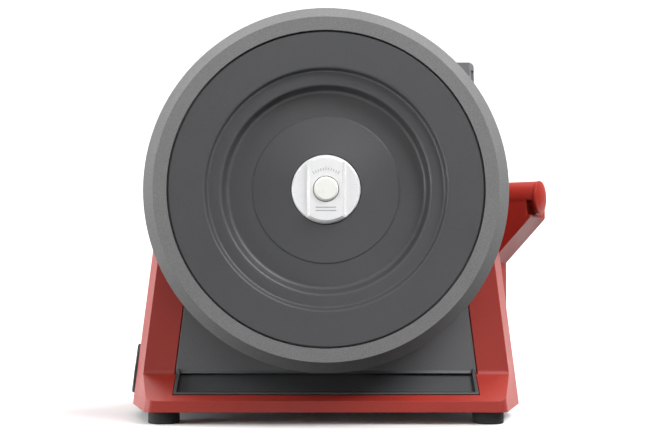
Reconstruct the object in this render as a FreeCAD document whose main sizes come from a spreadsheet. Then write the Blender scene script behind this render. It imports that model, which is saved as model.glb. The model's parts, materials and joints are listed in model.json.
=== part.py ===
import FreeCAD, Part
import math
import os
import re
import Sketcher
from FreeCAD import Vector

# Wet grinding sharpener: a 250 mm water stone on a quick-lock hub in front of a faceted
# moulded housing, with the friction drive inside and a leather honing wheel at the back.
# X runs to the right, Y runs back from the stone's front face, Z runs up from the floor.

SIZES = {
    # stone and its core
    "stone_dia": 250, "stone_wide": 50, "stone_clear": 38, "stone_room": 10,
    "stone_chamfer_out": 7.9, "stone_chamfer_deep": 9, "ring_bore": 216,
    "ring_step": 0.8, "seam_wide": 1.2, "seam_deep": 3,
    "rim_in": 82.4, "rim_step": 5.5, "shelf_in": 71.2, "dish_deep": 15.5,
    "dome_rad": 51, "hub_deep": 9.5, "web_thick": 16, "hub_gap": 0.4,
    # quick lock
    "lock_rad": 23.6, "lock_thick": 5.8, "lock_floor": 1.4, "stem_rad": 4,
    "stem_long": 13, "bar_half": 12.8, "bar_thick": 3.5,
    "button_rad": 8.4, "button_proud": 1.6, "button_travel": 1.5, "button_gap": 0.5, "bar_bevel": 1.8,
    # spindle and drive
    "shaft_rad": 6, "shaft_end": 10, "lock_room": 0.7, "run_gap": 0.05,
    "drive_rad": 66, "tyre_thick": 7, "drive_room": 2, "drive_wide": 14,
    "roller_rad": 5.5, "drive_gap": 0.3,
    "bush_rad": 10, "bush_flange_rad": 14, "bush_flange_thick": 2, "bush_long": 16,
    "flange_rad": 30, "flange_thick": 6,
    # honing wheel
    "honing_rad": 104, "honing_wide": 30, "honing_off": 11, "leather_thick": 3,
    # housing
    "foot_high": 8.9, "base_half": 143.5, "side_lean": 0.1238, "flare": 0.306,
    "base_deep": 183, "facet_deep": 57, "lip_high": 7.9,
    "crease_high": 33.6, "tower_step": 29, "tower_over": 73, "top_slope": 0.25,
    "shoulder": 46, "wall": 4.5, "boss_rad": 19, "boss_proud": 3, "boss_long": 17,
    "lip_corner": 7, "crease_round": 5,
    # splash panel and drip tray
    "panel_edge": 35.1, "panel_thick": 2.3, "panel_under": 31, "panel_gap": 0.9,
    "panel_sunk": 2.5, "tray_edge": 1, "tray_low": 20.8, "tray_high": 12.4,
    "tray_wall": 1.8, "tray_long": 78, "tray_gap": 0.5, "tray_sunk": 5.5,
    "cheek_thick": 2.2, "cheek_high": 3.6, "cheek_gap": 0.4, "brow_bevel": 0.9,
    "drip_out": 1.6, "drip_high": 1.8,
    # feet
    "foot_rad": 11.1, "foot_edge": 28.8, "foot_inset": 15.5,
    # side arm
    "arm_turn": 29, "arm_root_out": 2.8, "arm_back": 72, "arm_over": -1.1,
    "arm_long": 35.5, "arm_rad": 12.4, "arm_bore": 8, "arm_bore_deep": 16,
    "arm_pad_out": 2, "arm_reach": 85.5, "arm_drop": 48.5, "arm_brow": 33.5,
    "arm_ahead": 12, "arm_behind": 22, "slit_wide": 4.6, "slit_high": 11, "slit_end": 0.4,
    "cap_rad": 12.7, "cap_thick": 4.6, "cap_spigot": 12, "cap_gap": 0.1,
    # support sleeve casting
    "sleeve_rise": 28.7, "sleeve_wide": 49.5, "sleeve_edge": 2.7, "sleeve_off": 59,
    "sleeve_back": 7, "sleeve_bore": 6.05, "sleeve_inset": 19.5, "sleeve_end": 14,
    "sleeve_sink": 1.4, "sleeve_flare": 9, "sleeve_facet": 5, "slot_high": 8.4,
    "slot_wide": 6.4, "slot_deep": 9, "slot_drop": 5.2, "sleeve_root": 34, "sleeve_skirt": 8.4, "sleeve_neck": 14.5,
    # motor
    "motor_rad": 43, "motor_room": 14.5, "motor_off": 14, "motor_shaft": 4,
    "bell_deep": 9, "core_gap": 0.5, "core_rad": 27,
    "saddle_half": 30, "saddle_end": 10, "saddle_foot": 4, "saddle_drop": 12, "saddle_toe": 16,
    "capacitor_off": 22, "capacitor_high": 62, "capacitor_rad": 15, "capacitor_end": 7,
    # switch
    "switch_back": 79, "switch_high": 33, "knob_rad": 19.6, "knob_rise": 4.8,
    "knob_thick": 2.4, "grip_half": 4.5, "switch_rad": 10, "knob_gap": 0.3, "switch_room": 1.4,
    # base plate and rear cover
    "plate_thick": 2, "plate_gap": 0.4, "cover_edge": 51.5, "cover_over": 10.4, "cover_under": 28,
    "cover_thick": 2.5, "cover_gap": 0.4, "cover_step": 8,
    "screw_rad": 1.5, "screw_gap": 0.05, "head_rad": 3, "head_high": 2, "screw_long": 5,
    # gland that the mains lead passes through
    "gland_off": 13, "gland_high": 58, "gland_rad": 6.5, "gland_collar": 9, "gland_long": 17,
    "gland_bore": 3.6, "gland_gap": 0.1,
    # seat of the whole model in its own frame
    "frame_x": 0, "frame_y": 0,
}

# Sizes that follow from the ones above.
WORKED_OUT = {
    "axis_high": "(stone_dia / 2 + stone_clear)",
    "base_front": "(stone_wide + stone_room - tower_step)",
    "base_back": "(base_front + base_deep)",
    "tower_front": "(base_front + tower_step)",
    "tower_back": "(base_back - tower_step)",
    "tower_top": "(axis_high + tower_over)",
    "shaft_front": "(hub_deep + lock_thick + lock_room)",
    "honing_front": "(tower_back + honing_off)",
    "honing_back": "(honing_front + honing_wide)",
    "shaft_back": "(honing_back + shaft_end)",
    "drive_front": "(tower_front - boss_proud + boss_long + bush_flange_thick + drive_room)",
    "motor_high": "(axis_high - drive_rad - roller_rad - drive_gap)",
    "motor_front": "(drive_front + drive_wide + motor_off)",
    "motor_back": "(tower_back - wall - motor_room)",
    "panel_half": "(base_half - panel_edge)",
    "panel_top": "(axis_high - panel_under)",
    "tray_half": "(panel_half - tray_edge)",
    "foot_x": "(base_half - foot_edge)",
    "arm_high": "(axis_high + arm_over)",
    "arm_pad_low": "(arm_high - arm_reach)",
    "arm_foot_high": "(arm_high - arm_drop)",
    "arm_root_x": "(base_half - side_lean * (arm_high - foot_high) + arm_root_out)",
    "arm_root_y": "(base_front + arm_back)",
    "sleeve_top": "(tower_top + sleeve_rise)",
    "sleeve_right": "(base_half - side_lean * (tower_top - foot_high) - sleeve_edge)",
    "sleeve_left": "(sleeve_right - sleeve_wide)",
    "sleeve_x": "(sleeve_right - sleeve_inset)",
    "sleeve_front": "(base_front + sleeve_off)",
    "sleeve_deep": "(tower_back - sleeve_back - sleeve_front)",
    "sleeve_space": "(sleeve_deep - 2 * sleeve_end)",
    "sleeve_bore_deep": "(sleeve_rise + sleeve_sink)",
    "cover_half": "(base_half - cover_edge)",
    "cover_low": "(crease_high + cover_over)",
    "cover_top": "(tower_top - cover_under)",
    "switch_y": "(base_front + switch_back)",
    "knob_seat": "(base_half - side_lean * (switch_high - foot_high))",
    "plate_low": "(foot_high + plate_gap)",
    "gland_x": "(-cover_half - cover_step - gland_off)",
}

doc = FreeCAD.newDocument("wet_grinder")
sheet = doc.addObject("Spreadsheet::Sheet", "Sizes")
for row, (name, value) in enumerate(SIZES.items(), start=1):
    sheet.set(f"A{row}", name)
    sheet.set(f"B{row}", str(value))
    sheet.setAlias(f"B{row}", name)
doc.recompute()

FRAME_CELLS = {name: f"B{list(SIZES).index(name) + 1}" for name in ("frame_x", "frame_y")}
PARTS = []


# ---------------------------------------------------------------- helpers

def bound(text):
    """The expression with worked-out sizes written out and the others pointed at the sheet."""
    def point(word):
        name = word[0]
        if name in WORKED_OUT:
            return bound(WORKED_OUT[name])
        return f"Sizes.{name}" if name in SIZES else name
    return re.sub(r"[a-z][a-z0-9_]*", point, str(text))


def size(text):
    """The expression's value in millimetres."""
    return float(sheet.evalExpression(bound(text)))


def tie(thing, prop, text):
    """Binds a property to the sheet."""
    thing.setExpression(prop, bound(text))


def seat(thing, x="0", y="0", z="0", turn="0"):
    """Places a sub-part, with its offset into the model's frame."""
    thing.Placement = FreeCAD.Placement(Vector(), FreeCAD.Rotation(Vector(0, 0, 1), size(turn)))
    tie(thing, "Placement.Base.x", f"frame_x + {x}")
    tie(thing, "Placement.Base.y", f"frame_y + {y}")
    tie(thing, "Placement.Base.z", z)
    if turn != "0":
        tie(thing, "Placement.Rotation.Angle", turn)


def new_body(label, x="0", y="0", z="0", turn="0", keep=True):
    body = doc.addObject("PartDesign::Body", label)
    body.Label = label
    seat(body, x, y, z, turn)
    if keep:
        PARTS.append(body)
    return body


def new_sketch(body, role, offset="0"):
    """A sketch on one of the body's own planes; offset is along +X, +Y or +Z."""
    sketch = body.newObject("Sketcher::SketchObject", f"{body.Name}_sketch")
    plane = [item for item in body.Origin.OriginFeatures if item.Role == role][0]
    sketch.AttachmentSupport = [(plane, "")]
    sketch.MapMode = "FlatFace"
    sign = "-" if role == "XZ_Plane" else ""
    tie(sketch, "AttachmentOffset.Base.z", f"{sign}({offset})")
    doc.recompute()
    return sketch


def pin(sketch, geometry, point, x, y):
    """Holds one point of a sketch at a place given by the sheet."""
    for kind, text in (("DistanceX", x), ("DistanceY", y)):
        index = sketch.addConstraint(Sketcher.Constraint(kind, geometry, point, size(text)))
        sketch.setExpression(f"Constraints[{index}]", bound(text))


def rounded_corner(before, corner, after, radius):
    """Start, middle and end of the arc that rounds one corner."""
    to_before = (before - corner).normalize()
    to_after = (after - corner).normalize()
    half = to_before.getAngle(to_after) / 2
    run = radius / math.tan(half)
    bisector = (to_before + to_after).normalize()
    centre = corner + bisector * (radius / math.sin(half))
    return corner + to_before * run, centre - bisector * radius, corner + to_after * run


def outline(sketch, corners):
    """A closed outline through corners (x, y) or (x, y, radius), all bound to the sheet."""
    places = [Vector(size(item[0]), size(item[1]), 0) for item in corners]
    count = len(corners)
    starts, ends, arcs = list(places), list(places), {}
    for i, item in enumerate(corners):
        if len(item) == 3:
            arcs[i] = rounded_corner(places[i - 1], places[i], places[(i + 1) % count],
                                     size(item[2]))
            ends[i], _, starts[i] = arcs[i]
    lines = [sketch.addGeometry(Part.LineSegment(starts[i], ends[(i + 1) % count]), False)
             for i in range(count)]
    for i, item in enumerate(corners):
        before, after = lines[i - 1], lines[i]
        if i not in arcs:
            sketch.addConstraint(Sketcher.Constraint("Coincident", before, 2, after, 1))
            pin(sketch, after, 1, item[0], item[1])
            continue
        arc = sketch.addGeometry(Part.Arc(*arcs[i]), False)
        turn_left = (places[i] - places[i - 1]).cross(places[(i + 1) % count] - places[i]).z > 0
        first, last = (1, 2) if turn_left else (2, 1)
        sketch.addConstraint(Sketcher.Constraint("Tangent", before, 2, arc, first))
        sketch.addConstraint(Sketcher.Constraint("Tangent", arc, last, after, 1))
        radius = sketch.addConstraint(Sketcher.Constraint("Radius", arc, size(item[2])))
        sketch.setExpression(f"Constraints[{radius}]", bound(item[2]))
        mark = sketch.addGeometry(Part.Point(places[i]), True)
        sketch.addConstraint(Sketcher.Constraint("PointOnObject", mark, 1, before))
        sketch.addConstraint(Sketcher.Constraint("PointOnObject", mark, 1, after))
        pin(sketch, mark, 1, item[0], item[1])


def ring(sketch, x, y, radius):
    """A circle bound to the sheet."""
    circle = sketch.addGeometry(
        Part.Circle(Vector(size(x), size(y), 0), Vector(0, 0, 1), size(radius)), False)
    pin(sketch, circle, 3, x, y)
    index = sketch.addConstraint(Sketcher.Constraint("Radius", circle, size(radius)))
    sketch.setExpression(f"Constraints[{index}]", bound(radius))


def feature(body, kind, sketch, **settings):
    item = body.newObject(f"PartDesign::{kind}", f"{body.Name}_{kind}")
    item.Profile = sketch
    for name, value in settings.items():
        setattr(item, name, value)
    return item


def grows(body, make):
    """Runs make and checks that the solid gained volume."""
    old = body.Shape.Volume if body.Tip else 0.0
    item = make()
    doc.recompute()
    if body.Shape.Volume <= old + 1e-6:
        raise RuntimeError(f"{body.Label}: {item.Name} added nothing")
    return item


def shrinks(body, make):
    """Runs make and checks that the solid lost volume."""
    old = body.Shape.Volume
    item = make()
    doc.recompute()
    if body.Shape.Volume >= old - 1e-6:
        raise RuntimeError(f"{body.Label}: {item.Name} cut nothing")
    return item


def pad(body, sketch, length, back=False):
    """Adds material; from an XZ sketch, back=True goes towards +Y."""
    def make():
        item = feature(body, "Pad", sketch, Reversed=back)
        tie(item, "Length", length)
        return item
    return grows(body, make)


def pocket(body, sketch, length=None, back=False, both=False):
    """Cuts material against the sketch's normal, or along it with back=True."""
    def make():
        item = feature(body, "Pocket", sketch, Reversed=back)
        if length is None:
            item.Type = "ThroughAll"
        else:
            tie(item, "Length", length)
        if both:
            item.Midplane = True
        return item
    return shrinks(body, make)


def turn_solid(body, profile):
    """Revolves an outline of (y, radius) corners about the body's Y axis."""
    sketch = new_sketch(body, "YZ_Plane")
    outline(sketch, profile)
    return grows(body, lambda: feature(body, "Revolution", sketch, Angle=360,
                                       ReferenceAxis=(sketch, ["H_Axis"])))


def turned(label, profile, x="0", z="axis_high"):
    """A turned piece on a Y axis through (x, z)."""
    body = new_body(label, x=x, z=z)
    turn_solid(body, profile)
    return body


def dress(body, kind, edges, amount):
    """Fillet or Chamfer on the edges of the body's tip that pass the test."""
    base = body.Tip
    names = [f"Edge{i}" for i, edge in enumerate(base.Shape.Edges, start=1) if edges(edge)]
    if not names:
        raise RuntimeError(f"{body.Label}: no edge to dress")
    item = body.newObject(f"PartDesign::{kind}", f"{body.Name}_{kind}")
    item.Base = (base, names)
    tie(item, "Radius" if kind == "Fillet" else "Size", amount)
    doc.recompute()
    return item


def repeat(body, kind, original, role, count, **ties):
    """Polar or linear pattern of a feature about or along one of the body's axes."""
    item = body.newObject(f"PartDesign::{kind}", f"{body.Name}_{kind}")
    axis = [one for one in body.Origin.OriginFeatures if one.Role == role][0]
    item.Originals = [original]
    if kind == "PolarPattern":
        item.Axis = (axis, [""])
        item.Angle = 360
    else:
        item.Direction = (axis, [""])
    item.Occurrences = count
    for name, text in ties.items():
        tie(item, name, text)
    body.Tip = item
    doc.recompute()
    return item


def cut_with(label, base, tool):
    """A sub-part that is one solid less another."""
    item = doc.addObject("Part::Cut", label)
    item.Label = label
    item.Base = base
    item.Tool = tool
    item.Refine = True
    doc.recompute()
    PARTS.append(item)
    return item


# ---------------------------------------------------------------- stone

def abrasive_ring():
    turned("abrasive_ring", [
        ("0", "ring_bore / 2"),
        ("0", "stone_dia / 2 - stone_chamfer_out"),
        ("stone_chamfer_deep", "stone_dia / 2"),
        ("stone_wide - 1.5", "stone_dia / 2"),
        ("stone_wide", "stone_dia / 2 - 1.5"),
        ("stone_wide", "ring_bore / 2")])


def wheel_core():
    rim = "ring_bore / 2"
    back = "dish_deep + web_thick"
    core = turned("wheel_core", [
        ("seam_deep", rim),
        ("seam_deep", f"{rim} - seam_wide"),
        ("ring_step", f"{rim} - seam_wide", "0.6"),
        ("ring_step", "rim_in", "1.6"),
        ("rim_step", "rim_in - 1.6", "1.6"),
        ("rim_step + 0.4", "shelf_in", "2.4"),
        ("dish_deep", "shelf_in - 2.6", "3"),
        ("dish_deep", "dome_rad", "0.6"),
        ("dish_deep - 0.7", "dome_rad - 0.7", "0.6"),
        ("hub_deep + 0.8", "lock_rad + hub_gap + 0.4"),
        ("hub_deep + 1.2", "lock_rad + hub_gap"),
        ("hub_deep + lock_thick + 0.2", "lock_rad + hub_gap"),
        ("hub_deep + lock_thick + 0.2", "shaft_rad + 3.2"),
        ("stone_wide - 0.5", "shaft_rad + 3.2"),
        ("stone_wide - 0.5", "flange_rad + 2"),
        (back, "flange_rad + 6"),
        (back, "rim_in - 4"),
        ("stone_wide - 3", "rim_in + 6"),
        ("stone_wide - 1", f"{rim} - 3"),
        ("stone_wide - 1", rim)])
    # radial stiffening ribs across the back of the web
    sketch = new_sketch(core, "XZ_Plane", back)
    outline(sketch, [("flange_rad + 3", "-1.6"), ("rim_in + 2", "-1.6"),
                     ("rim_in + 2", "1.6"), ("flange_rad + 3", "1.6")])
    rib = pad(core, sketch, "8", back=True)
    repeat(core, "PolarPattern", rib, "Y_Axis", 10)


def lock_parts():
    face = "hub_deep"
    turned("lock_disc", [
        (f"{face} + 0.6", "button_rad + button_gap"),
        (face, "button_rad + button_gap + 0.6"),
        (face, "lock_rad - 0.8", "0.5"),
        (f"{face} + 1", "lock_rad"),
        (f"{face} + lock_thick", "lock_rad"),
        (f"{face} + lock_thick", "stem_rad - run_gap"),
        (f"{face} + lock_thick + stem_long", "stem_rad - run_gap"),
        (f"{face} + lock_thick + stem_long", "0"),
        (f"{face} + lock_thick - lock_floor", "0"),
        (f"{face} + lock_thick - lock_floor", "button_rad + button_gap")])

    bar = new_body("lock_bar", z="axis_high")
    sketch = new_sketch(bar, "XZ_Plane", face)
    ring(sketch, "0", "0", "lock_rad - 0.6")
    pad(bar, sketch, "bar_thick")
    for side in ("-", ""):
        sketch = new_sketch(bar, "XZ_Plane", f"{face} - bar_thick")
        near, far = f"{side}bar_half", f"{side}(lock_rad + 2)"
        outline(sketch, [(near, "-lock_rad - 2"), (far, "-lock_rad - 2"),
                         (far, "lock_rad + 2"), (near, "lock_rad + 2")])
        pocket(bar, sketch)
    sketch = new_sketch(bar, "XZ_Plane", f"{face} - bar_thick")
    ring(sketch, "0", "0", "button_rad + button_gap")
    pocket(bar, sketch)
    dress(bar, "Chamfer", lambda edge: abs(edge.BoundBox.YMax - size(f"{face} - bar_thick")) < 1e-3
          and abs(edge.BoundBox.YMin - edge.BoundBox.YMax) < 1e-3
          and edge.BoundBox.DiagonalLength > size("button_rad * 3"), "bar_bevel")

    crown = f"{face} - bar_thick - button_proud"
    turned("lock_button", [
        (crown, "0"),
        (crown, "button_rad - 1.2", "0.8"),
        (f"{crown} + 1.2", "button_rad", "0.4"),
        (f"{face} + lock_thick - lock_floor - button_travel - 0.2", "button_rad"),
        (f"{face} + lock_thick - lock_floor - button_travel - 0.2", "0")])


# ---------------------------------------------------------------- spindle

def spindle_parts():
    shaft = turned("spindle", [
        ("hub_deep + lock_thick + stem_long + 1", "0"),
        ("hub_deep + lock_thick + stem_long + 1", "stem_rad"),
        ("shaft_front", "stem_rad"),
        ("shaft_front", "shaft_rad - 0.8"),
        ("shaft_front + 0.8", "shaft_rad"),
        ("shaft_back - 1", "shaft_rad"),
        ("shaft_back", "shaft_rad - 1"),
        ("shaft_back", "0")])
    # collar that the stone's flange and the front bush bear on is the flange itself
    turned("stone_flange", [
        ("stone_wide - 0.4", "shaft_rad"),
        ("stone_wide - 0.4", "flange_rad", "1"),
        ("stone_wide + 1.6", "flange_rad", "1"),
        ("stone_wide + flange_thick - 0.4", "shaft_rad + 6"),
        ("stone_wide + flange_thick - 0.4", "shaft_rad")])
    # sleeve that centres the stone on the spindle and carries the quick lock
    turned("stone_sleeve", [
        ("hub_deep + lock_thick + 0.4", "shaft_rad"),
        ("hub_deep + lock_thick + 0.4", "shaft_rad + 3.1"),
        ("stone_wide - 0.4", "shaft_rad + 3.1"),
        ("stone_wide - 0.4", "shaft_rad")])

    hub = turned("drive_wheel", [
        ("drive_front", "shaft_rad"),
        ("drive_front", "shaft_rad + 8"),
        ("drive_front + 5", "shaft_rad + 10"),
        ("drive_front + 5", "drive_rad - tyre_thick - 5"),
        ("drive_front", "drive_rad - tyre_thick - 4"),
        ("drive_front", "drive_rad - tyre_thick"),
        ("drive_front + drive_wide", "drive_rad - tyre_thick"),
        ("drive_front + drive_wide", "drive_rad - tyre_thick - 4"),
        ("drive_front + drive_wide - 5", "drive_rad - tyre_thick - 5"),
        ("drive_front + drive_wide - 5", "shaft_rad + 10"),
        ("drive_front + drive_wide", "shaft_rad + 8"),
        ("drive_front + drive_wide", "shaft_rad")])
    sketch = new_sketch(hub, "XZ_Plane", "drive_front")
    ring(sketch, "(drive_rad - tyre_thick + shaft_rad) / 2 + 2", "0", "13")
    hole = window(hub, sketch)
    repeat(hub, "PolarPattern", hole, "Y_Axis", 6)
    turned("drive_tyre", [
        ("drive_front + 1", "drive_rad - tyre_thick"),
        ("drive_front + 1", "drive_rad - 1"),
        ("drive_front + 2", "drive_rad"),
        ("drive_front + drive_wide - 2", "drive_rad"),
        ("drive_front + drive_wide - 1", "drive_rad - 1"),
        ("drive_front + drive_wide - 1", "drive_rad - tyre_thick")])


def window(body, sketch):
    """A hole right through the body, towards +Y from an XZ sketch."""
    return shrinks(body, lambda: feature(body, "Pocket", sketch, Type="ThroughAll",
                                         Reversed=False))


def honing_parts():
    back = "honing_back"
    rim = "honing_rad - leather_thick"
    core = turned("honing_core", [
        ("honing_front - 7", "shaft_rad"),
        ("honing_front - 7", "18"),
        ("honing_front + 2", "26"),
        ("honing_front + 8", "30"),
        ("honing_front + 8", f"{rim} - 10"),
        ("honing_front", f"{rim} - 5"),
        ("honing_front", rim),
        (back, rim),
        (back, f"{rim} - 5"),
        (f"{back} - 12", f"{rim} - 9"),
        (f"{back} - 12", "26"),
        (f"{back} - 2", "22"),
        (f"{back} - 2", "shaft_rad")])
    sketch = new_sketch(core, "XZ_Plane", f"{back} - 12")
    outline(sketch, [("24", "-1.5"), (f"{rim} - 7", "-1.5"),
                     (f"{rim} - 7", "1.5"), ("24", "1.5")])
    rib = pad(core, sketch, "7", back=True)
    repeat(core, "PolarPattern", rib, "Y_Axis", 8)
    turned("honing_leather", [
        ("honing_front", rim), ("honing_front", "honing_rad - 0.6"),
        ("honing_front + 0.6", "honing_rad"), (f"{back} - 0.6", "honing_rad"),
        (back, "honing_rad - 0.6"), (back, rim)])
    knob = turned("honing_knob", [
        (f"{back} - 1.8", "shaft_rad + 0"),
        (f"{back} - 1.8", "15"),
        (f"{back} + 1", "16.5", "1"),
        ("shaft_back + 3", "15", "2"),
        ("shaft_back + 3", "0"),
        ("shaft_back + 0.2", "0"),
        ("shaft_back + 0.2", "shaft_rad")])
    sketch = new_sketch(knob, "XZ_Plane", f"{back} + 1.4")
    ring(sketch, "19.5", "0", "5.4")
    scoop = shrinks(knob, lambda: feature(knob, "Pocket", sketch, Type="ThroughAll",
                                          Reversed=False))
    repeat(knob, "PolarPattern", scoop, "Y_Axis", 6)


# ---------------------------------------------------------------- housing

def half_at(high, inset="0"):
    """Half the housing's width at a height, behind the facets."""
    return f"(base_half - side_lean * (({high}) - foot_high) - ({inset}))"


def envelope_sections(body, places, inset, low):
    """Trapezoid sections with rounded shoulders, one for each (y, narrowing)."""
    sections = []
    for y, narrowing in places:
        sketch = new_sketch(body, "XZ_Plane", y)
        top = f"(tower_top - top_slope * ({narrowing}) - ({inset}))"
        pull = f"(flare * ({narrowing}) + ({inset}))"
        bottom = half_at(low, pull)
        upper = half_at(top, pull)
        rounding = f"shoulder - ({inset})"
        outline(sketch, [(f"-{bottom}", low), (bottom, low),
                         (upper, top, rounding), (f"-{upper}", top, rounding)])
        sections.append(sketch)
    return sections


def loft(body, kind, sections):
    item = body.newObject(f"PartDesign::{kind}", f"{body.Name}_{kind}")
    item.Profile = sections[0]
    item.Sections = sections[1:]
    item.Ruled = True
    doc.recompute()
    return item


def envelope(body):
    """The faceted block that the housing is cut from."""
    places = [("base_front", "facet_deep"), ("base_front + facet_deep", "0"),
              ("base_back - facet_deep", "0"), ("base_back", "facet_deep")]
    return loft(body, "AdditiveLoft", envelope_sections(body, places, "0", "foot_high"))


def housing():
    body = new_body("housing")
    envelope(body)
    lip_top = "foot_high + lip_high"
    # front and rear steps: lip, sloping apron, then the upright tower face
    for front, tower, away in (("base_front", "tower_front", "base_front - 5"),
                               ("base_back", "tower_back", "base_back + 5")):
        sketch = new_sketch(body, "YZ_Plane")
        outline(sketch, [(away, lip_top), (front, lip_top), (tower, "crease_high", "crease_round"),
                         (tower, "tower_top + 5"), (away, "tower_top + 5")])
        pocket(body, sketch, both=True)
    # rounded corners of the base in plan
    dress(body, "Fillet", lambda edge: edge.BoundBox.ZMin < size("foot_high") + 0.1
          and edge.BoundBox.ZLength > 3
          and (edge.BoundBox.YMin < size("base_front") + 0.5
               or edge.BoundBox.YMax > size("base_back") - 0.5), "lip_corner")
    # hollow inside
    narrow = "facet_deep - tower_step"
    places = [("tower_front + wall", f"{narrow} - wall"),
              ("base_front + facet_deep", "0"),
              ("base_back - facet_deep", "0"),
              ("tower_back - wall", f"{narrow} - wall")]
    loft(body, "SubtractiveLoft", envelope_sections(body, places, "wall", "foot_high - 1"))
    # bearing boss of the spindle in the front wall
    sketch = new_sketch(body, "XZ_Plane", "tower_front - boss_proud")
    ring(sketch, "0", "axis_high", "boss_rad")
    pad(body, sketch, "boss_long", back=True)
    sketch = new_sketch(body, "XZ_Plane", "tower_front - boss_proud - 1")
    ring(sketch, "0", "axis_high", "bush_rad")
    pocket(body, sketch, "boss_long + 2")
    # sunk seat of the splash panel
    sketch = new_sketch(body, "XZ_Plane", "tower_front - 2")
    seat_low = "(tray_low + tray_high)"
    wide = f"(panel_half + panel_gap - side_lean * (panel_top + panel_gap - {seat_low}))"
    outline(sketch, [("-panel_half - panel_gap", seat_low), ("panel_half + panel_gap", seat_low),
                     (wide, "panel_top + panel_gap", "10"),
                     (f"-{wide}", "panel_top + panel_gap", "10")])
    pocket(body, sketch, "panel_sunk + 2")
    # slot of the drip tray
    sketch = new_sketch(body, "XZ_Plane", "base_front - 1")
    outline(sketch, [("-tray_half - tray_gap", "tray_low - tray_gap"),
                     ("tray_half + tray_gap", "tray_low - tray_gap"),
                     ("tray_half + tray_gap", "tray_low + tray_high + tray_gap"),
                     ("-tray_half - tray_gap", "tray_low + tray_high + tray_gap")])
    pocket(body, sketch, "tower_step + wall + 3")
    # stepped opening of the rear cover
    for grow, deep in (("0", "wall + 2"), ("cover_step", "cover_thick + 1")):
        sketch = new_sketch(body, "XZ_Plane", "tower_back + 1")
        half = f"(cover_half + ({grow}))"
        outline(sketch, [(f"-{half}", f"cover_low - ({grow})", "12"),
                         (half, f"cover_low - ({grow})", "12"),
                         (half, f"cover_top + ({grow})", "12"),
                         (f"-{half}", f"cover_top + ({grow})", "12")])
        pocket(body, sketch, deep, back=True)
    for x, high in corner_places():
        sketch = new_sketch(body, "XZ_Plane", "tower_back + 1")
        ring(sketch, x, high, "screw_rad + screw_gap")
        pocket(body, sketch, "wall + 4", back=True)
    # opening of the switch in the left side
    sketch = new_sketch(body, "YZ_Plane", "-knob_seat + 3 * wall")
    ring(sketch, "switch_y", "switch_high", "switch_rad + switch_room")
    pocket(body, sketch)
    # hole of the lead's gland in the rear wall
    sketch = new_sketch(body, "XZ_Plane", "tower_back + 1")
    ring(sketch, "gland_x", "gland_high", "gland_rad + gland_gap")
    pocket(body, sketch, "wall + 4", back=True)
    return body


def splash_panel():
    body = new_body("splash_panel")
    sketch = new_sketch(body, "XZ_Plane", "tower_front + panel_sunk - panel_thick")
    low = "tray_low + tray_high + tray_gap"
    wide = f"(panel_half - side_lean * (panel_top - ({low})))"
    outline(sketch, [("-panel_half", low), ("panel_half", low),
                     (wide, "panel_top", "9"), (f"-{wide}", "panel_top", "9")])
    pad(body, sketch, "panel_thick", back=True)
    # drip lip between the tray's cheeks
    half = "(tray_half - cheek_thick - 0.6)"
    face = "(tower_front + panel_sunk - panel_thick)"
    sketch = new_sketch(body, "YZ_Plane", f"-{half}")
    outline(sketch, [(f"{face} - drip_out", low), (f"{face} + 0.5", low),
                     (f"{face} + 0.5", f"{low} + drip_high + 0.8"), (face, f"{low} + drip_high")])
    pad(body, sketch, f"2 * {half}")


def drip_tray():
    """Shallow drawer whose sunk front follows the slope of the housing's apron."""
    body = new_body("drip_tray")
    slope = "(tower_step / (crease_high - foot_high - lip_high))"
    toe = f"(base_front + (tray_low - foot_high - lip_high) * {slope})"
    top = "(tray_low + tray_high)"
    brow = f"({toe} + tray_high * {slope})"
    back = f"({toe} + tray_long)"
    sketch = new_sketch(body, "YZ_Plane", "-tray_half")
    outline(sketch, [(toe, "tray_low"), (back, "tray_low"), (back, top), (f"{brow} + 3", top),
                     (f"{toe} + tray_sunk + 3", "tray_low + 1.2"), (f"{toe} + 0.6", "tray_low + 1.2")])
    pad(body, sketch, "2 * tray_half")
    dress(body, "Chamfer", lambda edge: edge.BoundBox.YLength < 0.01
          and edge.BoundBox.ZLength < 0.01 and abs(edge.BoundBox.ZMax - size(top)) < 0.01
          and edge.BoundBox.YMin < size(brow) + 4, "brow_bevel")
    # cheeks that stand proud at both ends of the sunk front
    for start in ("-tray_half", "tray_half - cheek_thick"):
        sketch = new_sketch(body, "YZ_Plane", start)
        proud = "(tower_front + panel_sunk - panel_thick - cheek_gap)"
        outline(sketch, [(toe, "tray_low"), (f"{brow} + 5", "tray_low"), (f"{brow} + 5", top),
                         (proud, top), (proud, f"{top} + cheek_high"),
                         (f"{proud} - 2", f"{top} + cheek_high"), (f"{proud} - 2.2", top)])
        pad(body, sketch, "cheek_thick")
    sketch = new_sketch(body, "XY_Plane", top)
    front = f"({brow} + tray_wall + 4)"
    outline(sketch, [("-tray_half + tray_wall", front, "3"), ("tray_half - tray_wall", front, "3"),
                     ("tray_half - tray_wall", f"{back} - tray_wall", "3"),
                     ("-tray_half + tray_wall", f"{back} - tray_wall", "3")])
    pocket(body, sketch, "tray_high - tray_wall")


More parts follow.
